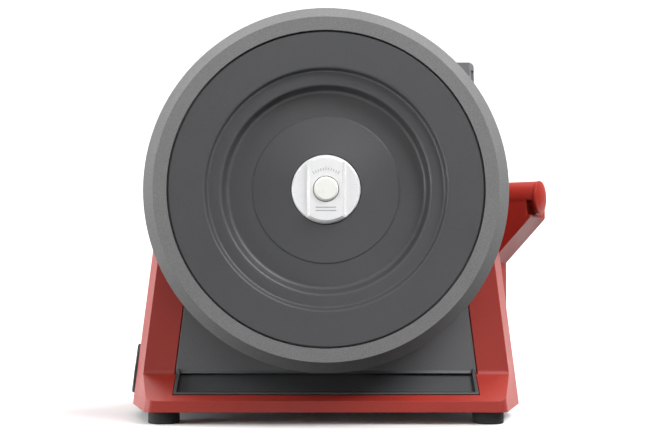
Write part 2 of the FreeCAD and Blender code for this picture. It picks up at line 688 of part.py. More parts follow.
def base_plate():
    body = new_body("base_plate")
    sketch = new_sketch(body, "XY_Plane", "plate_low")
    inner = "(base_half - wall - 1.2)"
    nose = f"({inner} - flare * (facet_deep - tower_step - wall))"
    outline(sketch, [(f"-{nose}", "tower_front + wall + 0.5"),
                     (nose, "tower_front + wall + 0.5"),
                     (inner, "base_front + facet_deep"),
                     (inner, "base_back - facet_deep"),
                     (nose, "tower_back - wall - 0.5"),
                     (f"-{nose}", "tower_back - wall - 0.5"),
                     (f"-{inner}", "base_back - facet_deep"),
                     (f"-{inner}", "base_front + facet_deep")])
    pad(body, sketch, "plate_thick")
    # runners of the drip tray
    for side in ("-", ""):
        sketch = new_sketch(body, "XY_Plane", "plate_low + plate_thick")
        near, far = f"{side}(tray_half - 14)", f"{side}(tray_half - 4)"
        outline(sketch, [(near, "tower_front + wall + 1"), (far, "tower_front + wall + 1"),
                         (far, "base_front + tray_long + 6"), (near, "base_front + tray_long + 6")])
        pad(body, sketch, "tray_low - 0.3 - plate_low - plate_thick")


def rear_cover():
    body = new_body("rear_cover")
    sketch = new_sketch(body, "XZ_Plane", "tower_back")
    grow = "(cover_step - cover_gap)"
    half = f"(cover_half + {grow})"
    outline(sketch, [(f"-{half}", f"cover_low - {grow}", "11.6"), (half, f"cover_low - {grow}", "11.6"),
                     (half, f"cover_top + {grow}", "11.6"), (f"-{half}", f"cover_top + {grow}", "11.6")])
    pad(body, sketch, "cover_thick")
    # bearing boss towards the inside
    sketch = new_sketch(body, "XZ_Plane", "tower_back - cover_thick")
    ring(sketch, "0", "axis_high", "boss_rad")
    pad(body, sketch, "boss_long - cover_thick")
    sketch = new_sketch(body, "XZ_Plane", "tower_back - boss_long - 1")
    ring(sketch, "0", "axis_high", "bush_rad")
    pocket(body, sketch)
    for x, high in corner_places():
        sketch = new_sketch(body, "XZ_Plane", "tower_back - cover_thick - 1")
        ring(sketch, x, high, "screw_rad + screw_gap")
        pocket(body, sketch)
    # cooling slots
    sketch = new_sketch(body, "XZ_Plane", "tower_back - cover_thick - 1")
    outline(sketch, [("-40", "60", "1.9"), ("40", "60", "1.9"), ("40", "64", "1.9"), ("-40", "64", "1.9")])
    slot = pocket(body, sketch)
    repeat(body, "LinearPattern", slot, "Z_Axis", 6, Length="45")


def corner_places():
    """Where the rear cover is screwed: near its four corners."""
    rim = "cover_step / 2"
    return [(f"{side}(cover_half + {rim} - 2)", high) for side in ("-", "")
            for high in (f"(cover_low - {rim} + 2)", f"(cover_top + {rim} - 2)")]


def screws(label, places, depth):
    """Pan-head screws along +Y to the outside, one solid each, as one sub-part."""
    each = []
    for number, (x, z) in enumerate(places, start=1):
        body = new_body(f"{label}_{number}", x=x, z=z, keep=False)
        turn_solid(body, [(f"{depth} - screw_long", "0"), (f"{depth} - screw_long", "screw_rad"),
                          (depth, "screw_rad"), (depth, "head_rad"),
                          (f"{depth} + head_high", "head_rad - 0.4", "0.8"),
                          (f"{depth} + head_high", "0")])
        sketch = new_sketch(body, "XZ_Plane", f"{depth} + head_high + 0.5")
        outline(sketch, [("1.3", "0"), ("0.65", "1.13"), ("-0.65", "1.13"),
                         ("-1.3", "0"), ("-0.65", "-1.13"), ("0.65", "-1.13")])
        pocket(body, sketch, "1.7", back=True)
        each.append(body)
    group = doc.addObject("Part::Compound", label)
    group.Label = label
    group.Links = each
    doc.recompute()
    PARTS.append(group)


def cable_gland():
    """Bushing in the rear wall with a collar and a grooved nose for the mains lead."""
    gland = new_body("cable_gland", x="gland_x", z="gland_high")
    profile = [("tower_back - wall - 2", "gland_bore"), ("tower_back - wall - 2", "gland_rad - 1"),
               ("tower_back - wall", "gland_rad"), ("tower_back + gland_gap", "gland_rad"),
               ("tower_back + gland_gap", "gland_collar", "0.5"),
               ("tower_back + 3", "gland_collar", "0.8"), ("tower_back + 3", "gland_rad")]
    for step in ("0.3", "0.5", "0.7"):
        groove = f"(tower_back + gland_long * {step})"
        profile += [(groove, f"gland_rad - {step}"), (groove, "gland_bore + 1.4"),
                    (f"{groove} + 1.2", "gland_bore + 1.4"), (f"{groove} + 1.2", f"gland_rad - {step}")]
    profile += [("tower_back + gland_long", "gland_bore + 1.6", "0.6"),
                ("tower_back + gland_long", "gland_bore")]
    turn_solid(gland, profile)


def feet():
    for row, y in (("front", "base_front + foot_inset"), ("rear", "base_back - foot_inset")):
        for side, sign in (("left", "-"), ("right", "")):
            foot = new_body(f"foot_{row}_{side}", x=f"{sign}foot_x", y=y)
            sketch = new_sketch(foot, "XY_Plane")
            ring(sketch, "0", "0", "foot_rad")
            pad(foot, sketch, "foot_high")
            dress(foot, "Fillet", lambda edge: edge.BoundBox.ZMax < 0.01, "1")


def bushes():
    front = "(tower_front - boss_proud)"
    for label, start, flange in (("front_bush", front, f"{front} + boss_long"),
                                 ("rear_bush", "(tower_back - boss_long)", None)):
        if flange:
            profile = [(start, "shaft_rad + run_gap"), (start, "bush_rad"),
                       (flange, "bush_rad"), (flange, "bush_flange_rad"),
                       (f"{flange} + bush_flange_thick", "bush_flange_rad"),
                       (f"{flange} + bush_flange_thick", "shaft_rad + run_gap")]
        else:
            profile = [(f"{start} - bush_flange_thick", "shaft_rad + run_gap"),
                       (f"{start} - bush_flange_thick", "bush_flange_rad"),
                       (start, "bush_flange_rad"), (start, "bush_rad"),
                       (f"{start} + boss_long", "bush_rad"),
                       (f"{start} + boss_long", "shaft_rad + run_gap")]
        turned(label, profile)


# ---------------------------------------------------------------- side arm

def side_arm():
    """Horizontal tube on a wedge-shaped bracket, both turned towards the stone's side."""
    tool = new_body("arm_seat", keep=False)
    envelope(tool)
    body = new_body("arm_blank", x="arm_root_x", y="arm_root_y", turn="-arm_turn", keep=False)
    low_rim = "(arm_high - arm_rad)"
    sketch = new_sketch(body, "XZ_Plane", "-arm_ahead")
    outline(sketch, [("-24", "arm_pad_low"), ("arm_pad_out", "arm_pad_low"),
                     ("arm_pad_out", "arm_foot_high"), ("arm_brow", f"{low_rim} - 2.5", "3"),
                     ("arm_brow", "arm_high"), ("-24", "arm_high")])
    pad(body, sketch, "arm_ahead + arm_behind", back=True)
    # tube with its blind bore
    sketch = new_sketch(body, "YZ_Plane", "-24")
    ring(sketch, "0", "arm_high", "arm_rad")
    pad(body, sketch, "arm_long + 24")
    # the bracket stays below the tube's crown behind it
    sketch = new_sketch(body, "XZ_Plane", "arm_rad - 2")
    outline(sketch, [("-30", f"{low_rim} + 4"), ("arm_long + 5", f"{low_rim} + 4"),
                     ("arm_long + 5", "arm_high + 20"), ("-30", "arm_high + 20")])
    pocket(body, sketch, "arm_behind + 5")
    sketch = new_sketch(body, "YZ_Plane", "arm_long")
    ring(sketch, "0", "arm_high", "arm_bore")
    pocket(body, sketch, "arm_bore_deep")
    # clamp slit in the lower front of the tube's end
    sketch = new_sketch(body, "XZ_Plane", "-arm_rad - 1")
    near, far = "(arm_long - slit_end - slit_wide)", "(arm_long - slit_end)"
    outline(sketch, [(near, "arm_high - 2 - slit_high"), (far, "arm_high - 2 - slit_high"),
                     (far, "arm_high - 2"), (near, "arm_high - 2")])
    pocket(body, sketch, "arm_rad")
    cut_with("side_arm", body, tool)

    cap = new_body("arm_cap", x="arm_root_x", y="arm_root_y", z="arm_high", turn="-arm_turn")
    sketch = new_sketch(cap, "XZ_Plane")
    outline(sketch, [("arm_long - cap_spigot", "0"), ("arm_long + cap_thick", "0"),
                     ("arm_long + cap_thick - 0.6", "cap_rad * 0.55", "14"),
                     ("arm_long + cap_thick - 2.2", "cap_rad", "1.2"),
                     ("arm_long + cap_gap", "cap_rad", "0.4"),
                     ("arm_long + cap_gap", "arm_bore - cap_gap"),
                     ("arm_long - cap_spigot", "arm_bore - cap_gap")])
    grows(cap, lambda: feature(cap, "Revolution", sketch, Angle=360,
                               ReferenceAxis=(sketch, ["H_Axis"])))


# ---------------------------------------------------------------- support sleeve

def support_casting():
    """Light casting on the right shoulder with the two upright sleeves of a support bar."""
    tool = new_body("casting_seat", keep=False)
    envelope(tool)
    body = new_body("casting_blank", keep=False)
    front = "sleeve_front"
    sketch = new_sketch(body, "XZ_Plane", front)
    root = "(tower_top - sleeve_root)"
    outline(sketch, [("sleeve_left", root), ("sleeve_right + 5", root),
                     ("sleeve_right + sleeve_skirt + 1", "tower_top - 14", "5"),
                     ("sleeve_right + sleeve_skirt", "tower_top - 3", "5"),
                     ("sleeve_right + 0.4", "sleeve_top - sleeve_neck", "5"),
                     ("sleeve_right", "sleeve_top", "2.4"), ("sleeve_left", "sleeve_top", "5")])
    pad(body, sketch, "sleeve_deep", back=True)
    # flared front corner, as on the housing
    sketch = new_sketch(body, "XY_Plane", "sleeve_top + 1")
    outline(sketch, [("sleeve_right - sleeve_facet", f"{front} - 1"),
                     ("sleeve_right + 20", f"{front} - 1"),
                     ("sleeve_right + 20", f"{front} + 5 * sleeve_flare"),
                     ("sleeve_right", f"{front} + sleeve_flare")])
    pocket(body, sketch)
    # shallow relief between the two sleeves, seen from above as a waist
    sketch = new_sketch(body, "XY_Plane", "sleeve_top + 1")
    middle = f"({front} + sleeve_deep / 2)"
    outline(sketch, [("sleeve_left - 1", f"{middle} - 15", "4"), ("sleeve_left + 12", f"{middle} - 15", "4"),
                     ("sleeve_left + 12", f"{middle} + 15", "4"), ("sleeve_left - 1", f"{middle} + 15", "4")])
    pocket(body, sketch, "sleeve_top + 1 - tower_top - 6")
    # clamp slots through the flared side into the front sleeve's wall
    for place in ("0", "sleeve_space"):
        sleeve = f"({front} + (sleeve_deep - sleeve_space) / 2 + {place})"
        sketch = new_sketch(body, "YZ_Plane", "sleeve_right + 8")
        top = "(sleeve_top - slot_drop)"
        outline(sketch, [(f"{sleeve} - 7 - slot_wide / 2", f"{top} - slot_high", "1"),
                         (f"{sleeve} - 7 + slot_wide / 2", f"{top} - slot_high", "1"),
                         (f"{sleeve} - 7 + slot_wide / 2", top, "1"),
                         (f"{sleeve} - 7 - slot_wide / 2", top, "1")])
        pocket(body, sketch, "slot_deep + 8")
        sketch = new_sketch(body, "XY_Plane", "sleeve_top + 1")
        ring(sketch, "sleeve_x", sleeve, "sleeve_bore")
        pocket(body, sketch, "sleeve_bore_deep + 1")
    cut_with("support_casting", body, tool)


# ---------------------------------------------------------------- motor

def motor_parts():
    front, back, high = "motor_front", "motor_back", "motor_high"
    turned("motor_case", [
        (front, "motor_rad - 3"), (front, "motor_rad", "1"), (back, "motor_rad", "1"),
        (back, "motor_rad - 3")], z=high)
    for label, start, sign in (("motor_front_bell", front, "-"), ("motor_rear_bell", back, "+")):
        turned(label, [
            (start, "motor_shaft + run_gap"), (start, "motor_rad - 1"),
            (f"{start} {sign} bell_deep / 3", "motor_rad - 2"), (f"{start} {sign} bell_deep", "core_rad"),
            (f"{start} {sign} bell_deep", "motor_shaft + run_gap")], z=high)
    turned("motor_shaft", [
        ("drive_front - 4", "0"), ("drive_front - 4", "motor_shaft"),
        (f"{back} + bell_deep + 0.5", "motor_shaft"), (f"{back} + bell_deep + 0.5", "0")], z=high)
    turned("drive_roller", [
        ("drive_front - 2", "motor_shaft"), ("drive_front - 2", "roller_rad + 2"),
        ("drive_front", "roller_rad"), ("drive_front + drive_wide", "roller_rad"),
        ("drive_front + drive_wide + 2", "roller_rad + 2"),
        ("drive_front + drive_wide + 2", "motor_shaft")], z=high)
    turned("motor_rotor", [
        (f"{front} + 8", "motor_shaft"), (f"{front} + 8", "core_rad"),
        (f"{back} - 8", "core_rad"), (f"{back} - 8", "motor_shaft")], z=high)
    turned("motor_stator", [
        (f"{front} + 6", "core_rad + core_gap"), (f"{front} + 6", "motor_rad - 3"),
        (f"{back} - 6", "motor_rad - 3"), (f"{back} - 6", "core_rad + core_gap")], z=high)


def motor_saddle():
    """Cast saddle that carries the motor on the base plate."""
    body = new_body("motor_saddle")
    floor, seat_high = "(plate_low + plate_thick)", "motor_high - saddle_drop"
    step = f"{floor} + saddle_foot"
    sketch = new_sketch(body, "XZ_Plane", "motor_front + saddle_end")
    outline(sketch, [("-saddle_half - saddle_toe", floor), ("saddle_half + saddle_toe", floor),
                     ("saddle_half + saddle_toe", step), ("saddle_half + 3", step, "4"),
                     ("saddle_half", seat_high), ("-saddle_half", seat_high),
                     ("-saddle_half - 3", step, "4"), ("-saddle_half - saddle_toe", step)])
    pad(body, sketch, "motor_back - motor_front - 2 * saddle_end", back=True)
    sketch = new_sketch(body, "XZ_Plane", "motor_front + saddle_end - 1")
    ring(sketch, "0", "motor_high", "motor_rad")
    shrinks(body, lambda: feature(body, "Pocket", sketch, Type="ThroughAll"))


# ---------------------------------------------------------------- electrics

def on_left_wall(body):
    """Turns a body so that its X axis stands square to the leaning left wall."""
    body.Placement.Rotation = FreeCAD.Rotation(Vector(0, 1, 0), 1)
    tie(body, "Placement.Rotation.Angle", "atan(side_lean)")


def electric_parts():
    body = new_body("switch_body", x="-knob_seat", y="switch_y", z="switch_high")
    on_left_wall(body)
    sketch = new_sketch(body, "YZ_Plane", "knob_gap")
    ring(sketch, "0", "0", "switch_rad")
    pad(body, sketch, "wall + 16")
    sketch = new_sketch(body, "YZ_Plane", "wall + 4")
    outline(sketch, [("-13", "-13", "2"), ("13", "-13", "2"), ("13", "13", "2"), ("-13", "13", "2")])
    pad(body, sketch, "22")

    knob = new_body("switch_knob", x="-knob_seat", y="switch_y", z="switch_high")
    on_left_wall(knob)
    face = "(-knob_gap - knob_thick)"
    sketch = new_sketch(knob, "YZ_Plane", face)
    ring(sketch, "0", "0", "knob_rad")
    pad(knob, sketch, "knob_thick")
    dress(knob, "Fillet", lambda edge: edge.BoundBox.XMax < size(face) + 0.01, "0.8")
    sketch = new_sketch(knob, "YZ_Plane", "-knob_rise")
    outline(sketch, [("-grip_half", "1 - knob_rad", "4"), ("grip_half", "1 - knob_rad", "4"),
                     ("grip_half", "knob_rad - 1", "4"), ("-grip_half", "knob_rad - 1", "4")])
    pad(knob, sketch, f"knob_rise + {face} + 0.5")
    dress(knob, "Fillet", lambda edge: edge.BoundBox.XMax < size("-knob_rise") + 0.01, "0.7")

    cap = new_body("run_capacitor", x="motor_rad + capacitor_rad + capacitor_off",
                   y="motor_front + capacitor_end", z="capacitor_high")
    sketch = new_sketch(cap, "XZ_Plane")
    ring(sketch, "0", "0", "capacitor_rad")
    pad(cap, sketch, "motor_back - motor_front - 2 * capacitor_end", back=True)
    dress(cap, "Fillet", lambda edge: edge.BoundBox.YMax < 0.01, "2")


abrasive_ring()
wheel_core()
lock_parts()
spindle_parts()
honing_parts()
housing()
splash_panel()
drip_tray()
base_plate()
rear_cover()
screws("cover_screws", corner_places(), "tower_back")
cable_gland()
feet()
bushes()
side_arm()
support_casting()
motor_parts()
motor_saddle()
electric_parts()

# ---------------------------------------------------------------- frame, checks, files

def model_box():
    box = FreeCAD.BoundBox()
    for item in PARTS:
        box.add(item.Shape.BoundBox)
    return box


doc.recompute()
box = model_box()
sheet.set(FRAME_CELLS["frame_x"], f"{-box.Center.x:.4f}")
sheet.set(FRAME_CELLS["frame_y"], f"{-box.Center.y:.4f}")
doc.recompute()
print("frame", size("frame_x"), size("frame_y"), model_box())

faults = [f"{item.Label} {item.State}" for item in doc.Objects
          if "Invalid" in item.State or "Error" in item.State]
faults += [item.Label for item in PARTS if item.Shape.isNull() or not item.Shape.isValid()]
faults += [f"{item.Label} holds {len(item.Shape.Solids)} solids" for item in PARTS
           if not item.Shape.Solids]
if faults:
    raise RuntimeError("; ".join(faults))

os.makedirs("parts", exist_ok=True)
for item in PARTS:
    item.Shape.exportStep(f"parts/{item.Label}.step")
print(len(PARTS), "parts")
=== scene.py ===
import json
import math
import bpy
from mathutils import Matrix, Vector


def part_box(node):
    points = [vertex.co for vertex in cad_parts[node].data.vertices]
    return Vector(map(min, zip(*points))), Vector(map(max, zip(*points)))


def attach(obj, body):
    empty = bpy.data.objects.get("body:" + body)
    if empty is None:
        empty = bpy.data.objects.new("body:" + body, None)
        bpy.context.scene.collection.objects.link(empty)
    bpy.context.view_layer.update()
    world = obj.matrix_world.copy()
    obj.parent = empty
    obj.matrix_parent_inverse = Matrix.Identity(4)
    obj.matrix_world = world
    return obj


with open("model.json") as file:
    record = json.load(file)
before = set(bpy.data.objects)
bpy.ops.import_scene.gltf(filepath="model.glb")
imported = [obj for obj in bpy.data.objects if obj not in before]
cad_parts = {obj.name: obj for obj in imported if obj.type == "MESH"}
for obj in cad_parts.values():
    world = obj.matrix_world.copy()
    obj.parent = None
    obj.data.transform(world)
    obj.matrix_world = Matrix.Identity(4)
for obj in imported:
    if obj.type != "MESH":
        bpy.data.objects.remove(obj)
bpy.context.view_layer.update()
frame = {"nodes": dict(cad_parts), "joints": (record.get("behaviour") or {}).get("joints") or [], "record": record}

# ---------------------------------------------------------------- places read from the frame

MM = 0.001
NODES = frame["nodes"]


def low_high(node):
    low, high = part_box(node)
    return Vector(low), Vector(high)


stone_low, stone_high = low_high("abrasive_ring")
AXIS = Vector(((stone_low.x + stone_high.x) / 2, stone_low.y, (stone_low.z + stone_high.z) / 2))

# ---------------------------------------------------------------- materials


def srgb(red, green, blue):
    """Linear colour from 0-255 screen values."""
    def linear(value):
        value /= 255
        return value / 12.92 if value <= 0.04045 else ((value + 0.055) / 1.055) ** 2.4
    return (linear(red), linear(green), linear(blue), 1.0)


class Surface:
    """A procedural material whose pattern sits in the object's own metres."""

    def __init__(self, name, roughness=0.5, metallic=0.0, **sockets):
        self.material = bpy.data.materials.new(name)
        self.material.use_nodes = True
        self.tree = self.material.node_tree
        self.shader = self.tree.nodes["Principled BSDF"]
        self.shader.inputs["Metallic"].default_value = metallic
        self.shader.inputs["Roughness"].default_value = roughness
        for socket, value in sockets.items():
            self.shader.inputs[socket.replace("_", " ")].default_value = value
        self.place = self.node("TexCoord").outputs["Object"]

    def node(self, kind, **settings):
        item = self.tree.nodes.new(f"ShaderNode{kind}")
        for key, value in settings.items():
            setattr(item, key, value)
        return item

    def link(self, source, target):
        self.tree.links.new(source, target)

    def noise(self, size, detail=3.0, stretch=None):
        """Fractal noise whose features are about size metres across."""
        item = self.node("TexNoise")
        item.inputs["Scale"].default_value = 1 / size
        item.inputs["Detail"].default_value = detail
        place = self.place
        if stretch:
            mapping = self.node("Mapping")
            mapping.inputs["Scale"].default_value = stretch
            self.link(place, mapping.inputs["Vector"])
            place = mapping.outputs["Vector"]
        self.link(place, item.inputs["Vector"])
        return item.outputs["Fac"]

    def cells(self, size):
        """Distance to the nearest of scattered points about size metres apart."""
        item = self.node("TexVoronoi")
        item.inputs["Scale"].default_value = 1 / size
        self.link(self.place, item.inputs["Vector"])
        return item.outputs["Distance"]

    def ramp(self, source, stops):
        """Colour ramp with stops [(place, colour), ...]."""
        item = self.node("ValToRGB")
        while len(item.color_ramp.elements) < len(stops):
            item.color_ramp.elements.new(0.5)
        for element, (place, colour) in zip(item.color_ramp.elements, stops):
            element.position = place
            element.color = colour
        self.link(source, item.inputs["Fac"])
        return item.outputs["Color"]

    def span(self, source, low, high, to_low, to_high):
        """A value spread from one range to another."""
        item = self.node("MapRange")
        for socket, value in (("From Min", low), ("From Max", high),
                              ("To Min", to_low), ("To Max", to_high)):
            item.inputs[socket].default_value = value
        self.link(source, item.inputs["Value"])
        return item.outputs["Result"]

    def math(self, kind, first, second):
        item = self.node("Math", operation=kind)
        for socket, value in zip(item.inputs, (first, second)):
            if isinstance(value, (int, float)):
                socket.default_value = value
            else:
                self.link(value, socket)
        return item.outputs["Value"]

    def blend(self, amount, first, second, kind="MIX"):
        item = self.node("Mix", data_type="RGBA", blend_type=kind)
        factor, one, two = item.inputs[0], item.inputs[6], item.inputs[7]
        for socket, value in ((factor, amount), (one, first), (two, second)):
            if isinstance(value, (int, float, tuple)):
                socket.default_value = value
            else:
                self.link(value, socket)
        return item.outputs[2]

    def colour(self, source):
        target = self.shader.inputs["Base Color"]
        if isinstance(source, tuple):
            target.default_value = source
        else:
            self.link(source, target)

    def roughness(self, source):
        self.link(source, self.shader.inputs["Roughness"])

    def bump(self, height, deep, strength=1.0):
        item = self.node("Bump")
        item.inputs["Distance"].default_value = deep
        item.inputs["Strength"].default_value = strength
        self.link(height, item.inputs["Height"])
        last = self.shader.inputs["Normal"]
        if last.is_linked:
            self.link(last.links[0].from_socket, item.inputs["Normal"])
        self.link(item.outputs["Normal"], last)

    def soft_edges(self, radius):
        """Rounds the look of sharp edges and returns a mask that is 1 along them."""
        item = self.node("Bevel", samples=6)
        item.inputs["Radius"].default_value = radius
        self.link(item.outputs["Normal"], self.shader.inputs["Normal"])
        flat = self.node("NewGeometry").outputs["Normal"]
        along = self.node("VectorMath", operation="DOT_PRODUCT")
        self.link(item.outputs["Normal"], along.inputs[0])
        self.link(flat, along.inputs[1])
        return self.span(along.outputs["Value"], 0.995, 0.86, 0.0, 1.0)

    def edge_sheen_and_wear(self, colour, edges, lighter, amount):
        """Colour painted lighter in patches along the edges: a painted highlight where light catches them, with a
        little wear.
        """
        sheen_and_rub = self.math("MULTIPLY", edges, self.span(self.noise(0.006, 5.0), 0.38, 0.62, 0.25, 1.0))
        return self.blend(self.math("MULTIPLY", sheen_and_rub, amount), colour, lighter)


def drift(surface, base, size, spread=0.08):
    """Base colour that drifts a little lighter and darker."""
    dark = tuple(value * (1 - spread) for value in base[:3]) + (1.0,)
    light = tuple(min(1.0, value * (1 + spread)) for value in base[:3]) + (1.0,)
    return surface.ramp(surface.noise(size, 4.0), [(0.35, dark), (0.65, light)])


def spark(surface, base, size, spread):
    """Fine pits and peaks of a moulded texture: the height, and a colour with small tone changes."""
    pits = surface.noise(size, 3.0)
    dark = tuple(value * (1 - spread) for value in base[:3]) + (1.0,)
    light = tuple(min(1.0, value * (1 + spread)) for value in base[:3]) + (1.0,)
    fine = surface.ramp(pits, [(0.38, dark), (0.62, light)])
    return pits, surface.blend(0.5, drift(surface, base, 0.04, 0.05), fine)


def moulding(name, base, rough, grain=0.0009, deep=0.00012, edge=0.0007, sheen_and_rub=0.35, level=0.5):
    """Injection moulded plastic: spark-eroded grain, softened and slightly polished edges."""
    it = Surface(name, Specular_IOR_Level=level)
    edges = it.soft_edges(edge)
    pits, tone = spark(it, base, grain, 0.14)
    light = tuple(min(1.0, value * 1.7 + 0.02) for value in base[:3]) + (1.0,)
    # Edges painted lighter in patches: a painted highlight, with a little wear.
    it.colour(it.edge_sheen_and_wear(tone, edges, light, sheen_and_rub))
    it.bump(it.noise(0.02, 2.0), 0.0002, 0.15)
    it.bump(pits, deep, 0.5)
    handled = it.span(it.noise(0.05, 3.0), 0.35, 0.65, rough - 0.03, rough + 0.04)
    fine = it.span(pits, 0.35, 0.65, -0.05, 0.06)
    polish = it.math("MULTIPLY", edges, -0.08)
    it.roughness(it.math("ADD", it.math("ADD", handled, fine), polish))
    return it.material


def painted(name, base, rough, orange=0.0018, level=0.5):
    """Powder coat over a casting: soft orange peel and a thin edge."""
    it = Surface(name, Specular_IOR_Level=level)
    edges = it.soft_edges(0.0008)
    peel = it.noise(orange, 2.0)
    light = tuple(min(1.0, value * 1.6 + 0.02) for value in base[:3]) + (1.0,)
    # Edges painted lighter in patches: a painted highlight, with a little wear.
    it.colour(it.edge_sheen_and_wear(drift(it, base, 0.03, 0.05), edges, light, 0.3))
    it.bump(peel, 0.00022, 0.45)
    it.bump(it.noise(orange * 0.22, 2.0), 0.00004, 0.35)
    it.roughness(it.span(it.noise(0.03, 4.0), 0.35, 0.65, rough - 0.05, rough + 0.06))
    return it.material


def stone_grain():
    """Bonded abrasive: sharp grit, dark pores and a faint dressing pattern."""
    it = Surface("stone_grain", roughness=0.86, Specular_IOR_Level=0.3)
    grit = it.cells(0.0009)
    fine = it.noise(0.00045, 3.0)
    pores = it.span(it.cells(0.0016), 0.12, 0.3, 0.0, 1.0)
    tone = it.ramp(grit, [(0.0, srgb(112, 112, 112)), (0.5, srgb(126, 126, 126)),
                          (1.0, srgb(138, 138, 138))])
    tone = it.blend(0.3, tone, it.ramp(fine, [(0.3, srgb(96, 97, 98)), (0.7, srgb(150, 150, 150))]))
    tone = it.blend(0.25, tone, it.ramp(it.noise(0.03, 4.0), [(0.35, srgb(118, 118, 118)),
                                                              (0.65, srgb(132, 132, 131))]))
    tone = it.blend(it.span(pores, 0.0, 1.0, 0.3, 0.0), tone, srgb(84, 84, 85))
    it.colour(tone)
    it.bump(grit, 0.00016, 0.5)
    it.bump(fine, 0.0001, 0.5)
    it.bump(pores, 0.0002, 0.35)
    it.roughness(it.span(fine, 0.3, 0.7, 0.78, 0.94))
    return it.material


def brushed_chrome():
    """Pale satin finish of the lock, partly metallic, with a fine straight brush."""
    it = Surface("satin_chrome", metallic=0.25)
    it.soft_edges(0.0004)
    brush = it.noise(0.0005, 3.0, stretch=(0.12, 1.0, 2.2))
    it.colour(drift(it, srgb(253, 253, 254), 0.008, 0.01))
    it.roughness(it.span(brush, 0.3, 0.7, 0.26, 0.42))
    it.bump(brush, 0.00001, 0.3)
    return it.material


def cream_plastic():
    """Smooth cream plastic of the push button."""
    it = Surface("cream_plastic", roughness=0.32)
    it.soft_edges(0.0005)
    it.colour(drift(it, srgb(254, 254, 248), 0.006, 0.008))
    it.bump(it.noise(0.0008, 2.0), 0.00002, 0.3)
    it.roughness(it.span(it.noise(0.003, 4.0), 0.35, 0.65, 0.26, 0.4))
    return it.material


def turned_steel():
    """Lathe-turned steel: rings round the Y axis and a little oil."""
    it = Surface("turned_steel", metallic=1.0)
    it.soft_edges(0.0003)
    rings = it.noise(0.0005, 3.0, stretch=(0.15, 3.0, 0.15))
    it.colour(drift(it, srgb(178, 180, 183), 0.01, 0.05))
    it.roughness(it.span(rings, 0.3, 0.7, 0.22, 0.42))
    it.bump(rings, 0.00003, 0.5)
    return it.material


def rubber(name, base, rough=0.72):
    """Moulded rubber with a bloom of dust, and edges painted lighter: a painted highlight with a little wear."""
    it = Surface(name, Specular_IOR_Level=0.35)
    edges = it.soft_edges(0.0006)
    grain = it.noise(0.0008, 3.0)
    bloom = it.noise(0.007, 5.0)
    dust_and_sheen = tuple(min(1.0, value * 1.6 + 0.004) for value in base[:3]) + (1.0,)
    # The bloom patches are real dust; the lighter edges are a painted highlight with a little wear.
    it.colour(it.edge_sheen_and_wear(it.blend(it.span(bloom, 0.45, 0.75, 0.0, 0.45), base, dust_and_sheen), edges, dust_and_sheen, 0.4))
    it.bump(grain, 0.00012, 0.5)
    it.roughness(it.span(grain, 0.3, 0.7, rough - 0.08, rough + 0.1))
    return it.material


def tanned_leather():
    """Brown leather with pores and patches of honing paste."""
    it = Surface("tanned_leather", Specular_IOR_Level=0.4)
    pores = it.cells(0.0012)
    broad = it.noise(0.014, 5.0)
    tone = it.ramp(broad, [(0.3, srgb(118, 78, 46)), (0.5, srgb(150, 104, 64)), (0.7, srgb(172, 128, 84))])
    paste = it.span(it.noise(0.03, 3.0, stretch=(0.3, 1.6, 0.3)), 0.52, 0.68, 0.0, 0.5)
    it.colour(it.blend(paste, tone, srgb(96, 82, 68)))
    it.bump(pores, 0.0002, 0.6)
    it.bump(broad, 0.0004, 0.3)
    it.roughness(it.span(pores, 0.1, 0.6, 0.72, 0.5))
    return it.material


def bare_alloy(name, tone, rough=0.42, grain=0.0014):
    """Unpainted metal with a fine cast or rolled pattern."""
    it = Surface(name, metallic=1.0)
    it.soft_edges(0.0004)
    pattern = it.noise(grain, 4.0)
    it.colour(drift(it, tone, 0.01, 0.06))
    it.bump(pattern, 0.0001, 0.5)
    it.roughness(it.span(pattern, 0.3, 0.7, rough - 0.08, rough + 0.13))
    return it.material


RED = srgb(166, 50, 40)
DARK_GREY = srgb(99, 100, 102)

MATERIALS = {
    "red_shell": moulding("red_moulding", RED, 0.42),
    "red_arm": painted("red_coat", RED, 0.42, level=0.12),
    "dark_panel": moulding("dark_moulding", DARK_GREY, 0.5, grain=0.0011, deep=0.00016),
    "stone": stone_grain(),
    "core": moulding("core_moulding", srgb(69, 69, 71), 0.46, grain=0.0007, deep=0.00005, sheen_and_rub=0.15),
    "lock_chrome": brushed_chrome(),
    "button": cream_plastic(),
    "steel": turned_steel(),
    "casting": painted("grey_coat", srgb(110, 111, 113), 0.45),
    "rubber": rubber("black_rubber", srgb(40, 41, 42)),
    "leather": tanned_leather(),
    "black_plastic": moulding("black_moulding", srgb(42, 43, 45), 0.46),
    "bronze": bare_alloy("sintered_bronze", srgb(176, 136, 84), 0.5, 0.0006),
    "motor_alloy": bare_alloy("cast_alloy", srgb(168, 170, 172)),
    "laminations": bare_alloy("laminations", srgb(110, 106, 102)),
    "zinc_sheet": bare_alloy("zinc_sheet", srgb(170, 174, 176), 0.36, 0.006),
}

for row in frame["record"]["subparts"]:
    mesh = NODES[row["node"]].data
    mesh.materials.clear()
    mesh.materials.append(MATERIALS[row["material_slot"]])

# The tray gets a darker copy of the panel's grey moulding: painted shade for the shadow the wheel casts on it.
NODES["drip_tray"].data.materials[0] = moulding("tray_painted_shade_moulding", srgb(72, 73, 75), 0.5, grain=0.0011)

# ---------------------------------------------------------------- pieces laid on the CAD surfaces


def touch(node, start, toward):
    """Where a ray from outside first meets a CAD node."""
    item = NODES[node]
    back = item.matrix_world.inverted()
    hit, place, _, _ = item.ray_cast(back @ start, (back.to_3x3() @ toward).normalized())
    if not hit:
        raise RuntimeError(f"no surface of {node} at {start}")
    return item.matrix_world @ place


